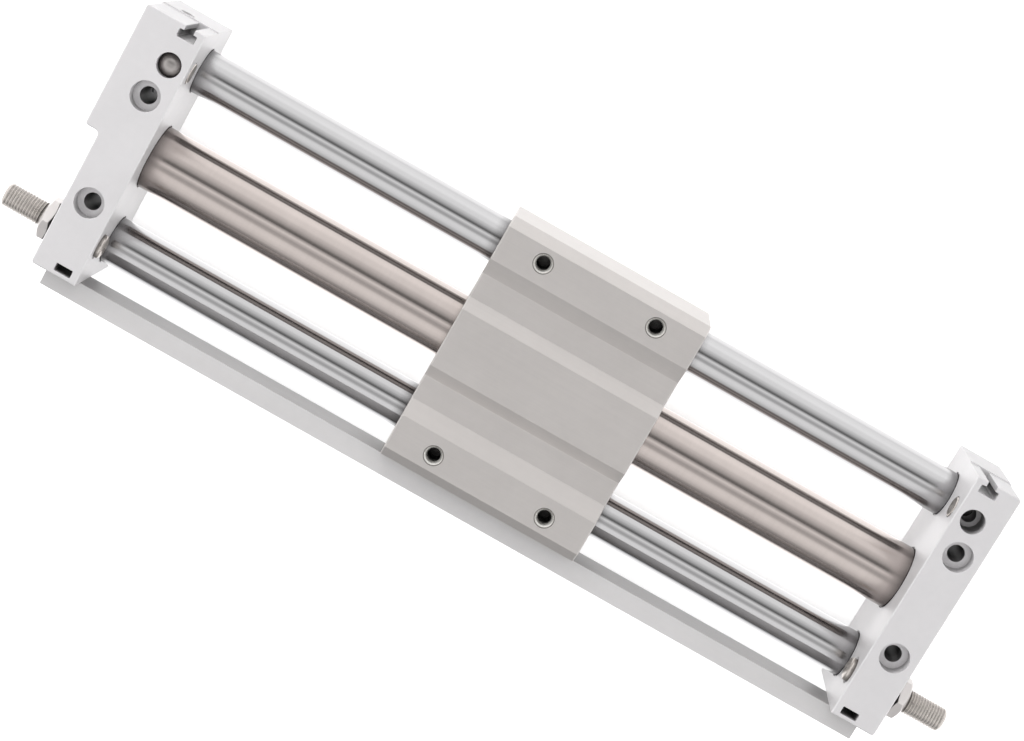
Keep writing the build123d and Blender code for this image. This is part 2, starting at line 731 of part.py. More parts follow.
# Piston unit: a shaft through the inner stack, a piston at each end
half_stack = stack_length / 2
half_shaft = half_stack + piston_length + bumper_thickness + piston_nut_thickness
with BuildPart() as piston_shaft:
    with BuildSketch(Plane.YZ.offset(slider_rest - half_shaft)):
        with Locations((0, tube_height)):
            Circle(piston_shaft_diameter / 2)
    extrude(amount=2 * half_shaft)
    chamfer(piston_shaft.edges().filter_by(GeomType.CIRCLE), length=piston_shaft_chamfer)
piston_shaft.part.label = "piston_shaft"
export_step(piston_shaft.part, "parts/piston_shaft.step")

piston_radius = tube_bore / 2 - piston_play
running_radius = tube_bore / 2 - wear_ring_play
for name, side in sides.items():
    piston_face = slider_rest + side * half_stack
    piston_plane = Plane(origin=(piston_face, 0, tube_height), z_dir=(side, 0, 0))
    ring_places = {
        "piston_wear_ring": (seal_inset, piston_ring_width),
        "piston_seal": (piston_ring_inset, seal_width),
    }
    with BuildPart() as piston:
        with BuildSketch(piston_plane):
            Circle(piston_radius)
            Circle(shaft_fit, mode=Mode.SUBTRACT)
        extrude(amount=piston_length)
        for ring_inset, ring_width in ring_places.values():
            with BuildSketch(piston_plane.offset(ring_inset)):
                Circle(piston_radius + piston_play)
                Circle(running_radius - seal_height, mode=Mode.SUBTRACT)
            extrude(amount=ring_width, mode=Mode.SUBTRACT)
    piston.part.label = f"piston_{name}"
    export_step(piston.part, f"parts/piston_{name}.step")
    for ring_name, (ring_inset, ring_width) in ring_places.items():
        with BuildPart() as piston_ring:
            with BuildSketch(piston_plane.offset(ring_inset + seat_play)):
                Circle(running_radius)
                Circle(running_radius - seal_height + seat_play, mode=Mode.SUBTRACT)
            extrude(amount=ring_width - 2 * seat_play)
        piston_ring.part.label = f"{ring_name}_{name}"
        export_step(piston_ring.part, f"parts/{ring_name}_{name}.step")
    with BuildPart() as bumper:
        with BuildSketch(piston_plane.offset(piston_length)):
            Circle(bumper_diameter / 2)
            Circle(shaft_fit, mode=Mode.SUBTRACT)
        extrude(amount=bumper_thickness)
    bumper.part.label = f"bumper_{name}"
    export_step(bumper.part, f"parts/bumper_{name}.step")

# Nuts on the piston shaft's two ends, both in one node
with BuildPart() as piston_nuts:
    for side in sides.values():
        nut_face = slider_rest + side * (half_shaft - piston_nut_thickness)
        with BuildSketch(Plane(origin=(nut_face, 0, tube_height), z_dir=(side, 0, 0))):
            RegularPolygon(piston_nut_flats / 2, 6, major_radius=False)
            Circle(shaft_fit, mode=Mode.SUBTRACT)
        extrude(amount=piston_nut_thickness)
piston_nuts.part.label = "piston_nuts"
export_step(piston_nuts.part, "parts/piston_nuts.step")
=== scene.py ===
# %% [markdown]
# # A rodless air cylinder
#
# A rodless cylinder moves its load without a rod that sticks out. A piston runs inside a thin steel
# tube, and strong magnets pull a block along outside it. Two chromed shafts keep the block straight.
#
# The solid parts come ready-made, in metres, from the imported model. This lesson gives them their
# finishes, and remakes the round bright parts as smooth surfaces, because a mirror shows every facet.

# %% Load the solid parts
import json

import bmesh
import bpy
import numpy as np
from mathutils import Matrix, Vector


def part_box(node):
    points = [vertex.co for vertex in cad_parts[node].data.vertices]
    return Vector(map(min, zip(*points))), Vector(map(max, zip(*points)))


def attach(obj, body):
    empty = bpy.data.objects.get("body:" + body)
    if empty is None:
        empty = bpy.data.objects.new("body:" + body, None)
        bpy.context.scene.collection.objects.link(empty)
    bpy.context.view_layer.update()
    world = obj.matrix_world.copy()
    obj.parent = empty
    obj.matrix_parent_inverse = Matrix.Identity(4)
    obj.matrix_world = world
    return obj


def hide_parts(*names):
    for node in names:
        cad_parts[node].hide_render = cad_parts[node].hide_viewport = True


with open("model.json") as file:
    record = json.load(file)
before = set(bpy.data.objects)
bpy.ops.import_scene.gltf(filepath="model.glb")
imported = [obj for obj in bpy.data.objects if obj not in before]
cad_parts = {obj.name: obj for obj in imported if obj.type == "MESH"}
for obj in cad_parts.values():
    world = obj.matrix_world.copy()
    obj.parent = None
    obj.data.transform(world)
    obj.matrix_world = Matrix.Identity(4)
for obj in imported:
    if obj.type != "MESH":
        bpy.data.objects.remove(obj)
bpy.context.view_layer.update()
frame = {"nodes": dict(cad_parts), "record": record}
parts = frame["nodes"]
print("solid parts:", len(parts))

# %% [markdown]
# ## Where things are
#
# Each new piece takes its place and main size from the solid part that it stands for, so it always fits
# what carries it. What a box can't tell, such as a bore or a thread's depth, is a named value. The bars,
# bolts, nuts, balls and discs all turn about a line along X, through the middle of their box.

# %% Measure a part
MM = 0.001


def box_of(name):
    """Lowest corner, highest corner and middle of a part, as arrays."""
    low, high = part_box(name)
    low = np.array(low)
    high = np.array(high)
    return low, high, (low + high) / 2


block_low, block_high, block_middle = box_of("slide_block")
print("block at rest, in mm:", np.round(block_low / MM, 1), "to", np.round(block_high / MM, 1))

# %% [markdown]
# ## From a grid of points to a mesh
#
# Each new piece is a surface over two numbers: how far along its outline, and how far round. Numpy works
# out all points at once, as one array of rows and columns. The helper joins neighbours into
# four-sided faces. Where a row shrinks to a point, its doubles are merged, which closes the pole.

# %% Grid helper
SHARP_ANGLE = np.radians(32)
SAME_POINT = 0.002 * MM
NO_LENGTH = 0.001 * MM


def skin(name, grid, wrap_rows=False):
    """Mesh of a grid of points shaped (rows, columns, 3). Columns always wrap round to the first one.

    wrap_rows also joins the last row to the first, for a ring. Edges that bend more than the sharp
    angle stay crisp, and all others are shaded smooth.
    """
    rows, columns, _ = grid.shape
    index = np.arange(rows * columns).reshape(rows, columns)
    lower = index if wrap_rows else index[:-1]
    upper = np.roll(index, -1, axis=0) if wrap_rows else index[1:]
    faces = np.stack(
        [lower, np.roll(lower, -1, axis=1), np.roll(upper, -1, axis=1), upper], axis=-1
    ).reshape(-1, 4)
    mesh = bpy.data.meshes.new(name)
    mesh.from_pydata(grid.reshape(-1, 3).tolist(), [], faces.tolist())
    mesh.validate()
    tidy_up(mesh)
    piece = bpy.data.objects.new(name, mesh)
    bpy.context.scene.collection.objects.link(piece)
    return piece


def tidy_up(mesh):
    """Merges doubled points, turns all faces outwards and marks the crisp edges."""
    work = bmesh.new()
    work.from_mesh(mesh)
    bmesh.ops.remove_doubles(work, verts=work.verts, dist=SAME_POINT)
    bmesh.ops.dissolve_degenerate(work, edges=work.edges, dist=NO_LENGTH)
    bmesh.ops.recalc_face_normals(work, faces=work.faces)
    work.to_mesh(mesh)
    work.free()
    mesh.shade_smooth()
    mesh.set_sharp_from_angle(angle=SHARP_ANGLE)


# %% [markdown]
# ## Turned parts
#
# A lathe makes a part whose outline is the same all the way round. The outline here is a short list of
# (place along X, radius). `turned` sends it round the middle line: y is the radius times the cosine of
# the turn, and z the radius times its sine. A small cut at each corner catches a thin line of light, as
# a broken edge does on the real part.

# %% Lathe helper
ROUND_STEPS = 128
CORNER_POINTS = 4


def full_turn(steps):
    """Angles of a full turn in equal steps, as one row."""
    return np.linspace(0, 2 * np.pi, steps, endpoint=False)[None, :]


def around_x(along, reach, turn, middle):
    """Grid of points round the line through `middle` along X.

    Point (i, j) has x from along i. Its y and z are the middle's, plus reach (i, j) times the cosine and
    the sine of turn j. A reach with one column is the same all round.
    """
    x = np.repeat(np.asarray(along)[:, None], turn.shape[1], axis=1)
    return np.stack([x, middle[1] + reach * np.cos(turn), middle[2] + reach * np.sin(turn)], axis=-1)


def turned(name, outline, middle, closed=True, steps=ROUND_STEPS):
    """Surface of revolution of an outline, closed on itself or open from pole to pole."""
    outline = np.asarray(outline, float)
    grid = around_x(outline[:, 0], outline[:, 1:], full_turn(steps), middle)
    return skin(name, grid, wrap_rows=closed)


def soft_corner(corner, before, after, radius):
    """Points of a small rounding at a corner: a quadratic curve from one side to the other."""
    corner = np.array(corner, float)
    towards_before = np.array(before, float) - corner
    towards_after = np.array(after, float) - corner
    start = corner + radius * towards_before / np.linalg.norm(towards_before)
    end = corner + radius * towards_after / np.linalg.norm(towards_after)
    t = np.linspace(0, 1, CORNER_POINTS)[:, None]
    return (1 - t) ** 2 * start + 2 * t * (1 - t) * corner + t**2 * end


def rounded_outline(corners, radius):
    """A closed outline with each corner rounded by the same small radius."""
    count = len(corners)
    pieces = [
        soft_corner(corners[i], corners[i - 1], corners[(i + 1) % count], radius)
        for i in range(count)
    ]
    return np.concatenate(pieces)


# %% [markdown]
# ## Shader groups
#
# Most of these metals share a few effects: fine lines left by drawing or grinding, cloudy unevenness,
# and a painted highlight that lightens the colour where the corner is broken. Each effect is a node
# group with named inputs, built once, and every material sets its own values.

# %% Node helpers
MIX_COLOUR_INPUTS = (0, 6, 7)  # factor, first and second colour on a Mix node
MIX_COLOUR_OUTPUT = 2


def new_group(name, inputs, outputs):
    """An empty shader node group. Inputs are (name, kind, value), outputs (name, kind)."""
    group = bpy.data.node_groups.new(name, "ShaderNodeTree")
    for label, kind, value in inputs:
        socket = group.interface.new_socket(label, in_out="INPUT", socket_type="NodeSocket" + kind)
        if value is not None:
            socket.default_value = value
    for label, kind in outputs:
        group.interface.new_socket(label, in_out="OUTPUT", socket_type="NodeSocket" + kind)
    entry = group.nodes.new("NodeGroupInput")
    exit_node = group.nodes.new("NodeGroupOutput")
    return group, entry, exit_node


def feed(tree, value, socket):
    """Gives an input its value: a link if the value is a socket, and a set value if it is plain."""
    if isinstance(value, bpy.types.NodeSocket):
        tree.links.new(value, socket)
    else:
        socket.default_value = value


def math_node(tree, operation, first, second=None, clamp=False):
    """A Math node. Each operand is a socket or a plain number."""
    node = tree.nodes.new("ShaderNodeMath")
    node.operation = operation
    node.use_clamp = clamp
    feed(tree, first, node.inputs[0])
    if second is not None:
        feed(tree, second, node.inputs[1])
    return node.outputs[0]


def weighted(tree, first, share, second):
    """Two values mixed: this share of the first, and the rest from the second."""
    part = math_node(tree, "MULTIPLY", first, share)
    rest = math_node(tree, "MULTIPLY", second, 1 - share)
    return math_node(tree, "ADD", part, rest)


def mix_colours(tree, factor, first, second, blend="MIX"):
    """A Mix node for colours. Factor and colours are sockets or plain values."""
    node = tree.nodes.new("ShaderNodeMix")
    node.data_type = "RGBA"
    node.blend_type = blend
    for place, value in zip(MIX_COLOUR_INPUTS, (factor, first, second)):
        feed(tree, value, node.inputs[place])
    return node.outputs[MIX_COLOUR_OUTPUT]


def noise_node(tree, vector, scale, detail=2.0, roughness=0.5):
    """A Noise Texture's value, about 0.5 on average."""
    node = tree.nodes.new("ShaderNodeTexNoise")
    node.inputs["Scale"].default_value = scale
    node.inputs["Detail"].default_value = detail
    node.inputs["Roughness"].default_value = roughness
    tree.links.new(vector, node.inputs["Vector"])
    return node.outputs[0]


# %% [markdown]
# **Drawn lines.** An extrusion or a ground shaft has lines that run one way. Stretching noise does
# it: the coordinates are squeezed along the line and spread across it before the noise is read.

# %% Drawn lines group
BROAD_SCALE = 0.17
FINE_SHARE = 0.6

lines_group, entry, leave = new_group(
    "drawn_lines",
    [("Stretch", "Vector", (20.0, 2600.0, 2600.0)), ("Amount", "Float", 0.5)],
    [("Height", "Float"), ("Tone", "Float")],
)
coords = lines_group.nodes.new("ShaderNodeTexCoord")
stretch = lines_group.nodes.new("ShaderNodeVectorMath")
stretch.operation = "MULTIPLY"
lines_group.links.new(coords.outputs["Object"], stretch.inputs[0])
lines_group.links.new(entry.outputs["Stretch"], stretch.inputs[1])
fine = noise_node(lines_group, stretch.outputs[0], 1.0, detail=3.0, roughness=0.6)
broad = noise_node(lines_group, stretch.outputs[0], BROAD_SCALE, detail=2.0)
both = weighted(lines_group, fine, FINE_SHARE, broad)
height = math_node(lines_group, "MULTIPLY", both, entry.outputs["Amount"])
lines_group.links.new(height, leave.inputs["Height"])
lines_group.links.new(both, leave.inputs["Tone"])

# %% [markdown]
# **Clouds.** No finish is quite even. Two sizes of soft noise, mixed, shift the tone and the gloss by
# a few percent, so a wide flat face doesn't look like a single fill.

# %% Clouds group
SMALL_SCALE = 7.0
WIDE_SHARE = 0.7
NOISE_LOW = 0.3
NOISE_HIGH = 0.7

cloud_group, entry, leave = new_group(
    "clouds",
    [("Size", "Float", 60.0), ("Low", "Float", 0.9), ("High", "Float", 1.0)],
    [("Value", "Float")],
)
coords = cloud_group.nodes.new("ShaderNodeTexCoord")
scaled = cloud_group.nodes.new("ShaderNodeVectorMath")
scaled.operation = "SCALE"
cloud_group.links.new(coords.outputs["Object"], scaled.inputs[0])
cloud_group.links.new(entry.outputs["Size"], scaled.inputs["Scale"])
wide = noise_node(cloud_group, scaled.outputs[0], 1.0, detail=3.0)
small = noise_node(cloud_group, scaled.outputs[0], SMALL_SCALE, detail=2.0)
mixed = weighted(cloud_group, wide, WIDE_SHARE, small)
ranged = cloud_group.nodes.new("ShaderNodeMapRange")
ranged.inputs["From Min"].default_value = NOISE_LOW
ranged.inputs["From Max"].default_value = NOISE_HIGH
cloud_group.links.new(mixed, ranged.inputs["Value"])
cloud_group.links.new(entry.outputs["Low"], ranged.inputs["To Min"])
cloud_group.links.new(entry.outputs["High"], ranged.inputs["To Max"])
cloud_group.links.new(ranged.outputs[0], leave.inputs["Value"])

# %% [markdown]
# **Broken edges.** A machinist takes the knife edge off every corner. The Bevel node gives the normal
# that a rounded corner would have. Where it turns away from the flat face's own normal there is an
# edge: the group gives that as a mask, and the bent normal to shade with.

# %% Broken edges group
BEVEL_SAMPLES = 6

edge_group, entry, leave = new_group(
    "broken_edges",
    [("Radius", "Float", 0.25 * MM), ("Strength", "Float", 6.0)],
    [("Edge", "Float"), ("Normal", "Vector")],
)
bevel = edge_group.nodes.new("ShaderNodeBevel")
bevel.samples = BEVEL_SAMPLES
edge_group.links.new(entry.outputs["Radius"], bevel.inputs["Radius"])
geometry = edge_group.nodes.new("ShaderNodeNewGeometry")
facing = edge_group.nodes.new("ShaderNodeVectorMath")
facing.operation = "DOT_PRODUCT"
edge_group.links.new(bevel.outputs[0], facing.inputs[0])
edge_group.links.new(geometry.outputs["Normal"], facing.inputs[1])
turned_away = math_node(edge_group, "SUBTRACT", 1.0, facing.outputs["Value"])
edge_mask = math_node(edge_group, "MULTIPLY", turned_away, entry.outputs["Strength"], clamp=True)
edge_group.links.new(edge_mask, leave.inputs["Edge"])
edge_group.links.new(bevel.outputs[0], leave.inputs["Normal"])

# %% [markdown]
# ** Hollows and contacts.** Little light reaches the bottom of a narrow hole, and a mirror goes dark just
# where it meets a wall. Ambient Occlusion measures how much of the surroundings a point can see, within
# a chosen distance. One group looks only at the piece itself, for holes. The other sees all pieces.
# The metals multiply their colour by these masks, so that darkening is painted shade.

# %% Hollows and contacts groups
SKY_SAMPLES = 8


def open_sky_group(name, only_local):
    """A mask that falls from 1 to Dark as the open share of the surroundings falls from High to Low."""
    inputs = [
        ("Distance", "Float", 0.01),
        ("Low", "Float", 0.1),
        ("High", "Float", 0.4),
        ("Dark", "Float", 0.0),
    ]
    group, entry, leave = new_group(name, inputs, [("Value", "Float")])
    occlusion = group.nodes.new("ShaderNodeAmbientOcclusion")
    occlusion.samples = SKY_SAMPLES
    occlusion.only_local = only_local
    group.links.new(entry.outputs["Distance"], occlusion.inputs["Distance"])
    ranged = group.nodes.new("ShaderNodeMapRange")
    group.links.new(occlusion.outputs["AO"], ranged.inputs["Value"])
    group.links.new(entry.outputs["Low"], ranged.inputs["From Min"])
    group.links.new(entry.outputs["High"], ranged.inputs["From Max"])
    group.links.new(entry.outputs["Dark"], ranged.inputs["To Min"])
    group.links.new(ranged.outputs[0], leave.inputs["Value"])
    return group


hollow_shade_group = open_sky_group("hollows", True)
contact_shade_group = open_sky_group("contacts", False)
print("shader groups:", [g.name for g in bpy.data.node_groups])

# %% [markdown]
# ## Finishes
#
# One function builds every metal: a base tone moved by the clouds and lines, a painted highlight along
# the edges, painted shade from the open-sky masks, roughness that follows the same lines, and a bump
# from them. What makes them differ is the numbers, as it is in the workshop: how coarse the lines are,
# which way they run, and how polished the face is.

# %% Metal material
LINE_DEPTH = 0.02 * MM
QUARTER_TURN = 0.25
finish = {}


def linear(*rgb):
    """A colour picked on screen, 0 to 255, as the linear values that the shader wants."""
    values = np.array(rgb, float) / 255
    return (*np.where(values <= 0.04045, values / 12.92, ((values + 0.055) / 1.055) ** 2.4), 1.0)


def place_group(tree, group, **values):
    """A group node in a material, with its own values."""
    node = tree.nodes.new("ShaderNodeGroup")
    node.node_tree = group
    for label, value in values.items():
        node.inputs[label].default_value = value
    return node


def metal(
    name, colour, metallic, roughness, stretch, tone=0.06, bump=0.1, cloud=(60.0, 0.94, 1.0),
    edge_light=0.25, gloss_spread=0.08, hollow=None, contact=None, painted_reflection_level=1.0, spread_along=0.0,
):
    """Adds a metal to the finishes.

    `stretch` is lines per metre along X, Y and Z, and `tone` how far they tint. `cloud` is (size, low,
    high). `hollow` and `contact` are (distance, low, high, dark) for the two open-sky masks, which paint
    shade into the colour. `painted_reflection_level` scales the colour where another mirror shows this
    piece, a painted shade on its reflection that stands for light lost between two rods with each
    bounce.
    `spread_along` smears reflections along X, as grinding lines that run round a shaft do.
    """
    material = bpy.data.materials.new(name)
    material.use_nodes = True
    tree = material.node_tree
    shader = tree.nodes["Principled BSDF"]
    lines = place_group(tree, lines_group, Stretch=stretch, Amount=1.0)
    clouds = place_group(tree, cloud_group, Size=cloud[0], Low=cloud[1], High=cloud[2])
    edges = place_group(tree, edge_group)
    line_shift = math_node(tree, "MULTIPLY", lines.outputs["Tone"], tone)
    line_tone = math_node(tree, "ADD", 1.0 - tone / 2, line_shift)
    level = math_node(tree, "MULTIPLY", clouds.outputs["Value"], line_tone)
    # The edge mask lightens the colour: a painted highlight along the broken corners.
    painted_edge_highlight = math_node(tree, "MULTIPLY", edges.outputs["Edge"], edge_light)
    level = math_node(tree, "ADD", level, painted_edge_highlight)
    # The open-sky masks darken the colour: painted shade in holes and where parts meet.
    for group, reach in ((hollow_shade_group, hollow), (contact_shade_group, contact)):
        if reach:
            distance, low, high, dark = reach
            mask = place_group(tree, group, Distance=distance, Low=low, High=high, Dark=dark)
            level = math_node(tree, "MULTIPLY", level, mask.outputs[0])
    # Darker colour for glossy rays only: painted shade on this piece's reflection in other mirrors.
    if painted_reflection_level < 1.0:
        rays = tree.nodes.new("ShaderNodeLightPath")
        painted_reflection_loss = math_node(tree, "MULTIPLY", rays.outputs["Is Glossy Ray"], 1.0 - painted_reflection_level)
        level = math_node(tree, "MULTIPLY", level, math_node(tree, "SUBTRACT", 1.0, painted_reflection_loss))
    level_colour = tree.nodes.new("ShaderNodeCombineColor")
    for channel in range(3):
        tree.links.new(level, level_colour.inputs[channel])
    tinted = mix_colours(tree, 1.0, colour, level_colour.outputs[0], blend="MULTIPLY")
    tree.links.new(tinted, shader.inputs["Base Color"])
    gloss_shift = math_node(tree, "MULTIPLY", lines.outputs["Tone"], gloss_spread)
    gloss = math_node(tree, "ADD", roughness - gloss_spread / 2, gloss_shift, clamp=True)
    tree.links.new(gloss, shader.inputs["Roughness"])
    shader.inputs["Metallic"].default_value = metallic
    if spread_along:
        round_axis = tree.nodes.new("ShaderNodeTangent")
        round_axis.direction_type = "RADIAL"
        round_axis.axis = "X"
        tree.links.new(round_axis.outputs[0], shader.inputs["Tangent"])
        shader.inputs["Anisotropic"].default_value = spread_along
        shader.inputs["Anisotropic Rotation"].default_value = QUARTER_TURN
    relief = tree.nodes.new("ShaderNodeBump")
    relief.inputs["Strength"].default_value = bump
    relief.inputs["Distance"].default_value = LINE_DEPTH
    tree.links.new(lines.outputs["Height"], relief.inputs["Height"])
    tree.links.new(edges.outputs["Normal"], relief.inputs["Normal"])
    tree.links.new(relief.outputs[0], shader.inputs["Normal"])
    finish[name] = material


# %% [markdown]
# The aluminium is anodised. The plates are milled, so their face is even and fine. The block and the
# rail are extruded, so their lines run along the cylinder. Hard chrome is ground round and round,
# which leaves the finest lines and a near mirror. The stainless tube is softer, warmer and rougher.

# %% Make the metals
# Open-sky masks, which paint shade into the colour: (distance, low, high, dark)
DEEP_HOLE_SHADE = (10 * MM, 0.08, 0.20, 0.02)
TAPPED_MOUTH_SHADE = (8 * MM, 0.10, 0.36, 0.02)
TAPPED_DEPTH_SHADE = (6 * MM, 0.20, 0.42, 0.005)
THREAD_ROOT_SHADE = (0.8 * MM, 0.30, 0.80, 0.80)
ROD_END_SHADE = (6 * MM, 0.45, 0.85, 0.35)
RAIL_FOOT_SHADE = (14 * MM, 0.45, 0.98, 0.60)
SEAT_SHADE = (2.5 * MM, 0.45, 0.85, 0.35)
NUT_SEAT_SHADE = (1.6 * MM, 0.50, 0.80, 0.06)

# Lines per metre along X, Y and Z
EXTRUDED = (18, 2300, 2300)
TAPPED = (1300, 1300, 400)

metal(
    "anodised_plate", linear(224, 222, 223), 0.35, 0.42, (2600, 2600, 2600),
    tone=0.03, bump=0.10, edge_light=0.2, hollow=DEEP_HOLE_SHADE, painted_reflection_level=0.62,
)
metal(
    "anodised_block", linear(226, 221, 218), 0.85, 0.38, EXTRUDED,
    tone=0.10, bump=0.25, edge_light=0.6, hollow=TAPPED_MOUTH_SHADE,
)
metal(
    "anodised_rail", linear(227, 225, 225), 0.55, 0.42, EXTRUDED,
    tone=0.06, bump=0.15, contact=RAIL_FOOT_SHADE, painted_reflection_level=0.70,
)
metal(
    "chromed_shaft", linear(227, 226, 227), 1.0, 0.14, (2600, 60, 60),
    tone=0.05, bump=0.02, cloud=(40.0, 0.97, 1.0), gloss_spread=0.04,
    contact=ROD_END_SHADE, painted_reflection_level=0.45, spread_along=0.97,
)
metal(
    "stainless_tube", linear(226, 215, 210), 1.0, 0.18, (1500, 45, 45),
    tone=0.12, bump=0.05, cloud=(30.0, 0.93, 1.0), gloss_spread=0.06,
    contact=ROD_END_SHADE, painted_reflection_level=0.45, spread_along=0.95,
)
metal(
    "nickelled_steel", linear(228, 221, 215), 0.9, 0.28, (1900, 1900, 1900),
    tone=0.08, bump=0.06, hollow=THREAD_ROOT_SHADE, contact=SEAT_SHADE, painted_reflection_level=0.6,
)
metal("bright_steel", linear(200, 195, 192), 1.0, 0.34, (1900, 900, 900), tone=0.08, bump=0.06)
metal(
    "black_screw", linear(38, 38, 40), 0.6, 0.38, (1600, 1600, 1600),
    tone=0.2, bump=0.15, edge_light=0.5,
)
metal("spring_steel", linear(96, 96, 100), 0.9, 0.35, (900, 2200, 2200), tone=0.15, bump=0.15)
metal("turned_aluminium", linear(215, 215, 217), 0.9, 0.3, (2300, 40, 40), tone=0.1, bump=0.2)
metal("magnet", linear(200, 200, 205), 1.0, 0.24, (1500, 1500, 1500), tone=0.08, bump=0.08)
metal("yoke_iron", linear(120, 117, 114), 0.85, 0.5, (1300, 1300, 1300), tone=0.25, bump=0.3)
metal("bearing_bronze", linear(176, 138, 92), 0.9, 0.42, (1200, 1200, 1200), tone=0.25, bump=0.35)
print("metals:", ", ".join(finish))

# %% [markdown]
# Three more finishes belong to no solid part. The tapped holes are freshly cut, so they are bright, with
# a thin dark rim of painted shade for the shadow line round them. The nuts are plated brighter than the
# bolts.

# %% Make the extra metals
metal(
    "bare_thread", linear(232, 230, 226), 0.8, 0.26, TAPPED,
    tone=0.1, bump=0.1, hollow=TAPPED_DEPTH_SHADE,
)
metal("painted_rim_shade", linear(128, 124, 120), 0.5, 0.4, TAPPED, tone=0.1)
metal(
    "bright_plating", linear(234, 229, 227), 0.55, 0.3, (1900, 1900, 1900),
    tone=0.06, bump=0.05, contact=NUT_SEAT_SHADE, painted_reflection_level=0.6,
)
print("metals with the extra ones:", len(finish))

# %% [markdown]
# Plastic and rubber have no metal shine. Their grain is fine and even, and their tone moves less.

# %% Plastic and rubber


def dull(name, colour, roughness, grain, bump):
    """Plastic or rubber: an even tone with a fine grain that moves the gloss and the bump."""
    metal(name, colour, 0.0, roughness, (grain, grain, grain), tone=0.08, bump=bump, edge_light=0.1)


dull("bearing_plastic", linear(214, 206, 180), 0.5, 1500, 0.2)
dull("seal_rubber", linear(30, 30, 31), 0.55, 1200, 0.3)
dull("bumper_rubber", linear(58, 56, 54), 0.5, 1200, 0.3)

slots = {entry["node"]: entry["material_slot"] for entry in frame["record"]["subparts"]}
for name, part in parts.items():
    part.data.materials.clear()
    part.data.materials.append(finish[slots[name]])
print("finishes:", len(finish))


def dress(piece, body, slot, *replaced, look=None):
    """Gives a new piece its finish, its moving body and the parts it stands for.

    The finish has the slot's name, unless `look` names another one.
    """
    piece.data.materials.clear()
    piece.data.materials.append(finish[look or slot])
    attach(piece, body)
    if replaced:
        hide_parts(*replaced)
    return piece


# %% [markdown]
# ## Shafts and tube
#
# These are the brightest pieces, and the long streaks on them are reflections of the room. A shaft made
# of flat strips would break each streak into steps, so each is turned again with many columns.

# %% Shafts and tube
EDGE = 0.15 * MM
CHAMFER = 0.8 * MM
HOLLOW_BORE = 3.0 * MM
TUBE_WALL = 0.8 * MM


def round_bar(name, bore):
    """Corners of a chamfered bar's outline and its middle, from its box. A bore of 0 makes it solid."""
    low, high, middle = box_of(name)
    radius = (high[2] - low[2]) / 2
    corners = [
        (low[0], bore),
        (low[0], radius - CHAMFER),
        (low[0] + CHAMFER, radius),
        (high[0] - CHAMFER, radius),
        (high[0], radius - CHAMFER),
        (high[0], bore),
    ]
    return corners, middle


corners, middle = round_bar("guide_shaft_hollow", HOLLOW_BORE)
shaft_upper = turned("shaft_upper", rounded_outline(corners, EDGE), middle)
dress(shaft_upper, "frame", "chromed_shaft", "guide_shaft_hollow")

corners, middle = round_bar("guide_shaft_solid", 0.0)
outline = np.concatenate([corners[:1], rounded_outline(corners[1:5], EDGE), corners[5:]])
shaft_lower = turned("shaft_lower", outline, middle, closed=False)
dress(shaft_lower, "frame", "chromed_shaft", "guide_shaft_solid")

low, high, middle = box_of("cylinder_tube")
outer = (high[2] - low[2]) / 2
inner = outer - TUBE_WALL
corners = [(low[0], inner), (low[0], outer), (high[0], outer), (high[0], inner)]
tube = turned("tube", rounded_outline(corners, EDGE), middle)
dress(tube, "frame", "stainless_tube", "cylinder_tube")
for piece in (shaft_upper, shaft_lower, tube):
    print(piece.name, "faces:", len(piece.data.polygons))

# %% [markdown]
# ## A cut thread
#
# A thread is a groove that climbs as it goes round. At turn t and place x, its phase is x over the pitch
# less t over one full turn. A triangle wave of that phase, with its tips cut off, is the depth. The
# outline's own radius then limits it, so the thread fades out at the chamfer and the round tip.

# %% Thread wave
FLANK_STEEPNESS = 1.25
CREST_FLAT = 0.12


def thread_wave(x, turn, pitch):
    """0 on the crest and 1 in the root, with flat tips: a clipped triangle wave along a helix."""
    phase = np.mod(x / pitch - turn / (2 * np.pi), 1.0)
    return np.clip(np.abs(phase - 0.5) * 2 * FLANK_STEEPNESS - CREST_FLAT, 0.0, 1.0)


print("depth over one pitch:", thread_wave(np.linspace(0, 1, 9), 0, 1))

# %% [markdown]
# A hexagon key fits the bolts' outer ends, and a spanner fits the nuts. Both are hexagons, which are
# nearest to the middle at the centre of each flat side. From there the distance grows as one over the
# cosine of the angle, up to the corner.

# %% Hexagon
SIXTH_TURN = np.pi / 3


def hexagon(turn, flats):
    """Distance from the middle to the side: half the flats over the cosine from the nearest flat."""
    from_flat = np.mod(turn + SIXTH_TURN / 2, SIXTH_TURN) - SIXTH_TURN / 2
    return flats / 2 / np.cos(from_flat)


print("corner over flat:", round(float(hexagon(SIXTH_TURN / 2, 2.0)), 3))

# %% [markdown]
# The adjusting bolts stop the block at the end of its travel. Each one has a round, plain tip that the
# block meets, a thread, a chamfered outer end and a socket for the key. All of it is one grid, whose
# rows run from the tip over the outside and then back into the socket.

# %% Threaded bolts
PITCH = 1.0 * MM
THREAD_DEPTH = 0.36 * MM
PLAIN_TIP = 3.2 * MM
RUN_IN = 1.0 * MM
TIP_DOME = 1.2 * MM
TIP_ROWS = 10
END_CHAMFER = 0.8 * MM
SOCKET_FLATS = 4.0 * MM
SOCKET_DEPTH = 5.0 * MM
SOCKET_MOUTH = 0.35 * MM
SOCKET_POINT = 0.8 * MM
ROWS_PER_PITCH = 12
BOLT_STEPS = 96


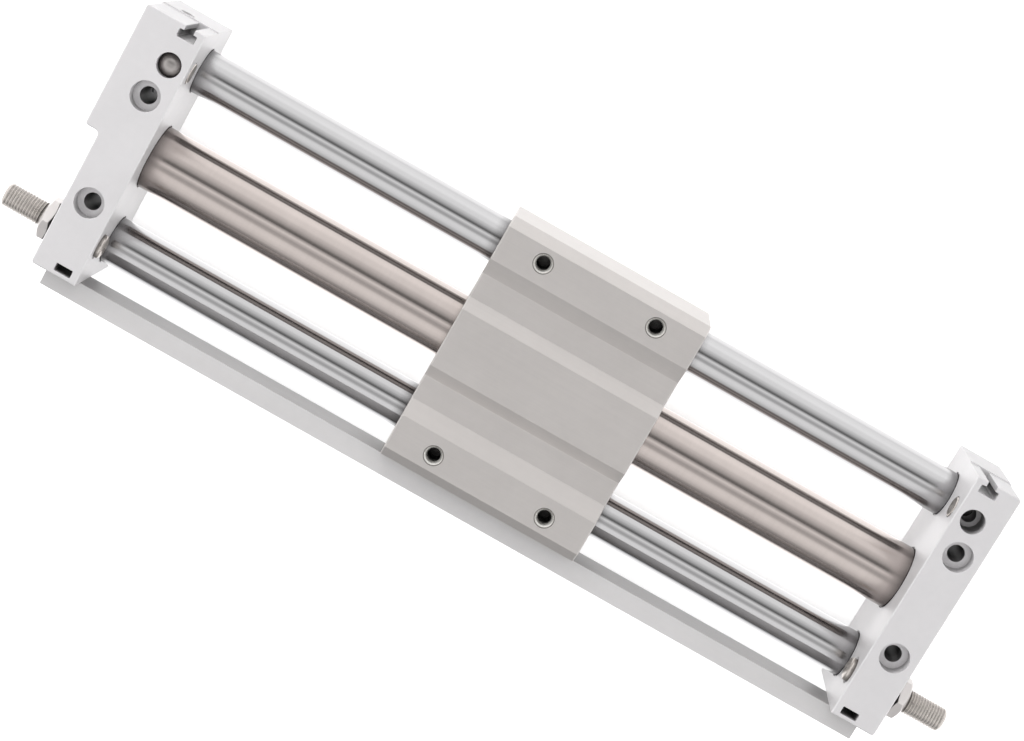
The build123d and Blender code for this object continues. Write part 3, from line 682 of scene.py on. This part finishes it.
def adjusting_bolt(name, node, direction, body):
    """A threaded bolt: round inner tip, chamfered outer end, hexagon socket in that end.

    The reach is the smaller of the plain outline's, which is an ellipse over the dome, then the bar and
    then 45 degrees off the end, and the bar's radius less the thread's depth.
    """
    low, high, middle = box_of(node)
    radius = (high[2] - low[2]) / 2
    length = high[0] - low[0]
    tip = low[0] if direction > 0 else high[0]
    turn = full_turn(BOLT_STEPS)

    # Rows from the tip to the outer end, close together on the dome
    along = np.concatenate([
        TIP_DOME * (1 - np.cos(np.linspace(0, np.pi / 2, TIP_ROWS))),
        np.arange(TIP_DOME, length, PITCH / ROWS_PER_PITCH)[1:],
        [length],
    ])[:, None]
    dome = radius * np.sqrt(np.clip(1 - (1 - along / TIP_DOME) ** 2, 0, 1))
    envelope = np.where(along < TIP_DOME, dome, radius)
    envelope = np.minimum(envelope, radius - END_CHAMFER + (length - along))
    started = np.clip((along - PLAIN_TIP) / RUN_IN, 0, 1)
    depth = THREAD_DEPTH * thread_wave(along, turn, PITCH) * started
    shell = np.minimum(envelope, radius - depth)

    # The socket goes back in: its mouth, its wall and the drilled point at its bottom
    socket = hexagon(turn, SOCKET_FLATS)
    socket_rows = [socket + SOCKET_MOUTH, socket, socket, 0 * socket]
    bottom = length - SOCKET_DEPTH
    socket_along = [length, length - SOCKET_MOUTH, bottom, bottom - SOCKET_POINT]
    reach = np.concatenate([shell] + socket_rows, axis=0)
    along = np.concatenate([along[:, 0], socket_along])
    grid = around_x(tip + direction * along, reach, turn, middle)
    return dress(skin(name, grid), body, "nickelled_steel", node)


left_bolt = adjusting_bolt("bolt_left", "adjust_bolt_left", -1, "left_bolt")
right_bolt = adjusting_bolt("bolt_right", "adjust_bolt_right", 1, "right_bolt")
print("bolt faces:", len(left_bolt.data.polygons), "and", len(right_bolt.data.polygons))

# %% [markdown]
# ## Nuts
#
# A hexagon nut is turned before its threads are cut, so a cone takes its six corners off on both faces.
# The side is therefore the smaller of two radii: the hexagon's, and the cone's. Where they meet, the
# curved scallops that every nut has appear by themselves. The plating is brighter than the bolt's.

# %% Lock nuts
NUT_STEPS = 144
FACE_INSET = 0.85 * MM
CONE_DEPTH = 1.2 * MM
CONE_ROWS = 10
CONE_SLOPE = np.sqrt(3)
NUT_BORE = 4.06 * MM
NUT_MOUTH = 0.45 * MM


def lock_nut(name, node):
    """Six-sided nut: rows go from the bore, over one face, the side and the other face, back in."""
    low, high, middle = box_of(node)
    flats = min(high[1] - low[1], high[2] - low[2])
    turn = full_turn(NUT_STEPS)
    thickness = high[0] - low[0]
    face_radius = flats / 2 - FACE_INSET
    cone = np.linspace(0, CONE_DEPTH, CONE_ROWS)
    side_along = np.concatenate([cone, thickness - cone[::-1]])
    from_face = np.minimum(side_along, thickness - side_along)[:, None]
    side = np.minimum(hexagon(turn, flats), face_radius + from_face * CONE_SLOPE)
    bore = np.full_like(turn, NUT_BORE)
    mouth = bore + NUT_MOUTH
    reach = np.concatenate([bore, mouth, side, mouth, bore])
    along = np.concatenate([[NUT_MOUTH, 0.0], side_along, [thickness, thickness - NUT_MOUTH]])
    nut = skin(name, around_x(low[0] + along, reach, turn, middle), wrap_rows=True)
    return dress(nut, "frame", "nickelled_steel", node, look="bright_plating")


left_nut = lock_nut("nut_left", "lock_nut_left")
right_nut = lock_nut("nut_right", "lock_nut_right")
print("nut faces:", len(left_nut.data.polygons), "and", len(right_nut.data.polygons))

# %% [markdown]
# ## Ball plugs
#
# Two air passages are closed by steel balls, each pressed into its hole until it seals. A ball is a
# turned outline that is half a circle, here turned about X like all the others.

# %% Balls
BALL_ROWS = 49
BALL_STEPS = 96


def ball(name, node):
    """A sphere that fills a part's box: the radius times minus cos s along X, and times sin s out."""
    low, high, middle = box_of(node)
    radius = (high[2] - low[2]) / 2
    swing = np.linspace(0, np.pi, BALL_ROWS)
    outline = np.stack([middle[0] - radius * np.cos(swing), radius * np.sin(swing)], axis=1)
    sphere = turned(name, outline, middle, closed=False, steps=BALL_STEPS)
    return dress(sphere, "frame", "bright_steel", node)


for name, node in (("ball_port", "port_ball_plug"), ("ball_cross", "cross_plug")):
    plug = ball(name, node)
    print(name, "faces:", len(plug.data.polygons))

# %% [markdown]
# ## Closing discs
#
# A disc closes each air passage on the plates' inner faces. It is a low dome with a rounded rim, so a
# thin bright crescent shows at its edge and a dark line round it.

# %% Discs
DISC_DEPTH = 1.2 * MM
DISC_RADIUS = 3.55 * MM
DISC_RISE = 0.35 * MM
DISC_CROWN = 0.15 * MM
DISC_BACK = 1.1 * MM
RIM_DROP = 0.8 * MM
RIM_WIDTH = 0.5 * MM
RIM_ROWS = 10
DISC_STEPS = 64

disc_low, disc_high, disc_middle = box_of("passage_plugs")
swing = np.linspace(0, np.pi / 2, RIM_ROWS)
for name, outer_end, inward in (("disc_left", disc_low[0], 1), ("disc_right", disc_high[0], -1)):
    face = outer_end + inward * DISC_DEPTH
    back = face - inward * DISC_BACK
    rim = np.stack([
        face + inward * (DISC_RISE - RIM_DROP * (1 - np.sin(swing))),
        DISC_RADIUS - RIM_WIDTH * (1 - np.cos(swing)),
    ], axis=1)
    outline = np.concatenate([
        [(back, 0.0), (back, DISC_RADIUS)],
        rim,
        [(face + inward * (DISC_RISE + DISC_CROWN), 0.0)],
    ])
    disc = turned(name, outline, disc_middle, closed=False, steps=DISC_STEPS)
    dress(disc, "frame", "nickelled_steel", "passage_plugs")
    print(name, "faces:", len(disc.data.polygons))

# %% [markdown]
# ## Threads in the block
#
# The four holes in the block are tapped, so a helical ridge lines each one. It is a sleeve whose outer
# wall hides just inside the aluminium, and whose inner wall carries the same thread wave as the bolts.
# Its mouth is a cone of freshly cut, bright metal. The faces at the mouth's upper edge get a dark
# finish, painted shade that draws the thin shadow line round the hole.

# %% Tapped holes
HOLE_PITCH_X = 40 * MM
HOLE_PITCH_Y = 70 * MM
HOLE_RADIUS = 2.5 * MM
TAP_PITCH = 1.0 * MM
TAP_DEPTH = 11.7 * MM
TAP_ROWS_PER_PITCH = 10
TAP_STEPS = 64
RIDGE = 0.32 * MM
RIDGE_RUN_IN = 0.6 * MM
MOUTH = 0.86 * MM
LIP = 0.12 * MM
WALL = 0.03 * MM
RIM_SHADE_INSET = 0.6 * MM
RIM_SHADE_DEPTH = 0.5 * MM
BLOCK_TOP = block_high[2]


def tapped_sleeve(x, y):
    """Grid of a threaded sleeve round an upright line: down the inner wall, up the outer one.

    It opens in the block's top face. The inner reach is the hole's radius, plus what is left of MOUTH
    below that face, less the ridge.
    """
    turn = full_turn(TAP_STEPS)
    down = np.linspace(0, TAP_DEPTH, int(TAP_DEPTH / TAP_PITCH * TAP_ROWS_PER_PITCH))[:, None]
    ridge = RIDGE * (1 - thread_wave(down, turn, TAP_PITCH))
    ridge = ridge * np.clip((down - MOUTH) / RIDGE_RUN_IN, 0, 1)
    cone = np.clip(MOUTH - down, 0, MOUTH)
    inner = HOLE_RADIUS + cone - ridge
    outer = HOLE_RADIUS + np.array([[WALL], [MOUTH]]) + 0 * turn
    reach = np.concatenate([inner, outer])
    height = np.concatenate([BLOCK_TOP - down[:, 0], [BLOCK_TOP - TAP_DEPTH, BLOCK_TOP - LIP]])
    z = np.repeat(height[:, None], TAP_STEPS, axis=1)
    return np.stack([x + reach * np.cos(turn), y + reach * np.sin(turn), z], axis=-1)


def paint_rim_shade(thread, x, y):
    """Gives the faces at the mouth's upper edge the dark finish: painted shade for the shadow line round
    the hole.
    """
    faces = thread.data.polygons
    centres = np.empty(len(faces) * 3)
    faces.foreach_get("center", centres)
    centres = centres.reshape(-1, 3)
    reach = np.hypot(centres[:, 0] - x, centres[:, 1] - y)
    in_rim_shade = (reach > HOLE_RADIUS + RIM_SHADE_INSET) & (centres[:, 2] > BLOCK_TOP - RIM_SHADE_DEPTH)
    thread.data.materials.append(finish["painted_rim_shade"])
    faces.foreach_set("material_index", in_rim_shade.astype(np.int32))


for number, (side_x, side_y) in enumerate([(-1, 1), (1, 1), (-1, -1), (1, -1)], start=1):
    hole_x = block_middle[0] + side_x * HOLE_PITCH_X / 2
    hole_y = side_y * HOLE_PITCH_Y / 2
    thread = skin(f"tapped_thread_{number}", tapped_sleeve(hole_x, hole_y), wrap_rows=True)
    dress(thread, "slider", "anodised_block", look="bare_thread")
    paint_rim_shade(thread, hole_x, hole_y)
    print(thread.name, "at, in mm:", round(hole_x / MM, 1), round(hole_y / MM, 1))

# %% [markdown]
# ## The room
#
# Bright metal is only as good as what it mirrors. The room is a white studio with soft light overhead,
# split by a few darker gaps that lie along the cylinder: they draw the long dark lines on the shafts.
# The brightness depends on one angle, measured from straight up towards +Y, and pale screens close both
# ends. Only mirrors see this room. Matt faces get one plain level from it, and the camera sees white.

# %% World light


def grey(level):
    """A plain grey, as a colour with four channels."""
    return (level, level, level, 1)


SCREEN_TONE = grey(0.95)
SCREEN_START = 0.55
SCREEN_FULL = 0.85
PLAIN_LEVEL = (0.30, 0.30, 0.303, 1)
WHITE = grey(1)

room = bpy.data.worlds.new("room")
bpy.context.scene.world = room
room.use_nodes = True
tree = room.node_tree
tree.nodes.clear()
coords = tree.nodes.new("ShaderNodeTexCoord")
direction = tree.nodes.new("ShaderNodeSeparateXYZ")
tree.links.new(coords.outputs["Generated"], direction.inputs[0])
angle = math_node(tree, "ARCTAN2", direction.outputs["Y"], direction.outputs["Z"])
place = math_node(tree, "ADD", math_node(tree, "DIVIDE", angle, 2 * np.pi), 0.5)
bands = tree.nodes.new("ShaderNodeValToRGB")
tree.links.new(place, bands.inputs[0])

# Softboxes and gaps: (degrees from straight up towards +Y, brightness)
room_bands = [
    (-180, 1.25),
    (-125, 1.15),
    (-112, 0.75),
    (-104, 0.28),
    (-86, 0.17),
    (-75, 0.33),
    (-62, 0.62),
    (-50, 0.78),
    (-38, 0.84),
    (-28, 0.80),
    (-19, 0.48),
    (-12, 0.42),
    (-5, 0.60),
    (2, 0.82),
    (9, 0.46),
    (15, 0.11),
    (20, 0.19),
    (28, 0.44),
    (40, 0.64),
    (52, 0.84),
    (64, 0.86),
    (80, 0.99),
    (100, 0.94),
    (115, 0.88),
    (130, 1.10),
    (180, 1.25),
]
bands.color_ramp.interpolation = "EASE"
ramp = bands.color_ramp.elements
while len(ramp) > 1:
    ramp.remove(ramp[-1])
ramp[0].position = 0.0
for degrees, _ in room_bands[1:]:
    ramp.new(degrees / 360 + 0.5)
for stop, (_, brightness) in zip(ramp, room_bands):
    stop.color = grey(brightness)
print("stops in the room:", len(ramp))

# The screens show where a direction points mostly along X
sideways = tree.nodes.new("ShaderNodeMapRange")
sideways.inputs["From Min"].default_value = SCREEN_START
sideways.inputs["From Max"].default_value = SCREEN_FULL
tree.links.new(math_node(tree, "ABSOLUTE", direction.outputs["X"]), sideways.inputs["Value"])
mirrored = mix_colours(tree, sideways.outputs[0], bands.outputs[0], SCREEN_TONE)

rays = tree.nodes.new("ShaderNodeLightPath")
unseen = mix_colours(tree, rays.outputs["Is Diffuse Ray"], mirrored, PLAIN_LEVEL)
seen = mix_colours(tree, rays.outputs["Is Camera Ray"], unseen, WHITE)
background = tree.nodes.new("ShaderNodeBackground")
tree.links.new(seen, background.inputs[0])
out = tree.nodes.new("ShaderNodeOutputWorld")
tree.links.new(background.outputs[0], out.inputs[0])

# %% [markdown]
# Four large soft lamps give the matt faces their shape. The key lamp is low on the +Y side, so the faces
# and slopes that look that way come out lighter. One lamp hangs overhead, and one stands off each end
# for the plates' inner faces. They don't show in the mirrors, because the world already gives those
# their softboxes.

# %% Lamps


def soft_lamp(name, place, target, size, power):
    """A square area lamp that points at a target. Its size is in metres and its power in watts."""
    lamp = bpy.data.lights.new(name, "AREA")
    lamp.size = size
    lamp.energy = power
    holder = bpy.data.objects.new(name, lamp)
    holder.location = place
    holder.rotation_euler = (Vector(target) - Vector(place)).to_track_quat("-Z", "Y").to_euler()
    holder.visible_glossy = False
    bpy.context.scene.collection.objects.link(holder)
    print(name, "lamp, metres away:", round((Vector(target) - Vector(place)).length, 2))


soft_lamp("key", (-0.60, 0.80, 0.34), (0, 0, 0.02), 0.6, 5.0)
soft_lamp("top", (0.00, 0.30, 4.00), (0, 0, 0.02), 1.2, 58)
soft_lamp("left", (-1.70, 0.10, 0.62), (0.1, 0, 0.02), 0.6, 19.5)
soft_lamp("right", (3.00, 0.10, 0.95), (-0.1, 0, 0.02), 1.2, 66)

# %% [markdown]
# ## Floor
#
# The floor is a pale sheet. For the camera it also glows a little, so that it reads as white without
# more light on the object, while the object's soft shadow stays on it. It is left out of reflections,
# because the room's lower half already looks white in them.

# %% Floor
FLOOR_SIZE = 6.0
FLOOR_GAP = 0.02 * MM
FLOOR_TONE = grey(0.88)
FLOOR_GLOW = 0.56

bpy.ops.mesh.primitive_plane_add(size=FLOOR_SIZE, location=(0, 0, -FLOOR_GAP))
floor = bpy.context.object
floor.name = "floor"
sheet = bpy.data.materials.new("pale_floor")
sheet.use_nodes = True
tree = sheet.node_tree
tree.nodes.clear()
diffuse = tree.nodes.new("ShaderNodeBsdfDiffuse")
diffuse.inputs[0].default_value = FLOOR_TONE
glow = tree.nodes.new("ShaderNodeEmission")
rays = tree.nodes.new("ShaderNodeLightPath")
seen = math_node(tree, "MAXIMUM", rays.outputs["Is Camera Ray"], rays.outputs["Is Glossy Ray"])
tree.links.new(math_node(tree, "MULTIPLY", seen, FLOOR_GLOW), glow.inputs["Strength"])
together = tree.nodes.new("ShaderNodeAddShader")
tree.links.new(diffuse.outputs[0], together.inputs[0])
tree.links.new(glow.outputs[0], together.inputs[1])
out = tree.nodes.new("ShaderNodeOutputMaterial")
tree.links.new(together.outputs[0], out.inputs[0])
floor.data.materials.append(sheet)
floor.visible_glossy = False
print("floor, metres wide:", FLOOR_SIZE)

# %% [markdown]
# ## Camera
#
# The camera stands almost straight above, a little towards +Y, with a long lens and turned by a third
# of a right angle, so that the cylinder lies across the picture. Its place and turn come from matching
# the plates' corners and the block's holes.

# %% Camera
CAMERA_PLACE = Vector((-0.02973, 0.13443, 0.74864))
CAMERA_AIM = Vector((-0.00440, -0.00186, 0.03))
CAMERA_ROLL = np.radians(29.9)
LENS = 80.963
SENSOR_WIDTH = 36

camera_data = bpy.data.cameras.new("camera")
camera_data.sensor_width = SENSOR_WIDTH
camera_data.lens = LENS
camera = bpy.data.objects.new("camera", camera_data)
bpy.context.scene.collection.objects.link(camera)
forward = (CAMERA_AIM - CAMERA_PLACE).normalized()
level = forward.cross(Vector((0, 1, 0))).normalized()
upward = level.cross(forward)
right = level * np.cos(CAMERA_ROLL) + upward * np.sin(CAMERA_ROLL)
up = right.cross(forward)
camera.matrix_world = Matrix((
    (right[0], up[0], -forward[0], CAMERA_PLACE[0]),
    (right[1], up[1], -forward[1], CAMERA_PLACE[1]),
    (right[2], up[2], -forward[2], CAMERA_PLACE[2]),
    (0, 0, 0, 1),
))
bpy.context.scene.camera = camera
bpy.context.scene.view_settings.view_transform = "Standard"
print("camera, metres away:", round((CAMERA_PLACE - CAMERA_AIM).length, 3))
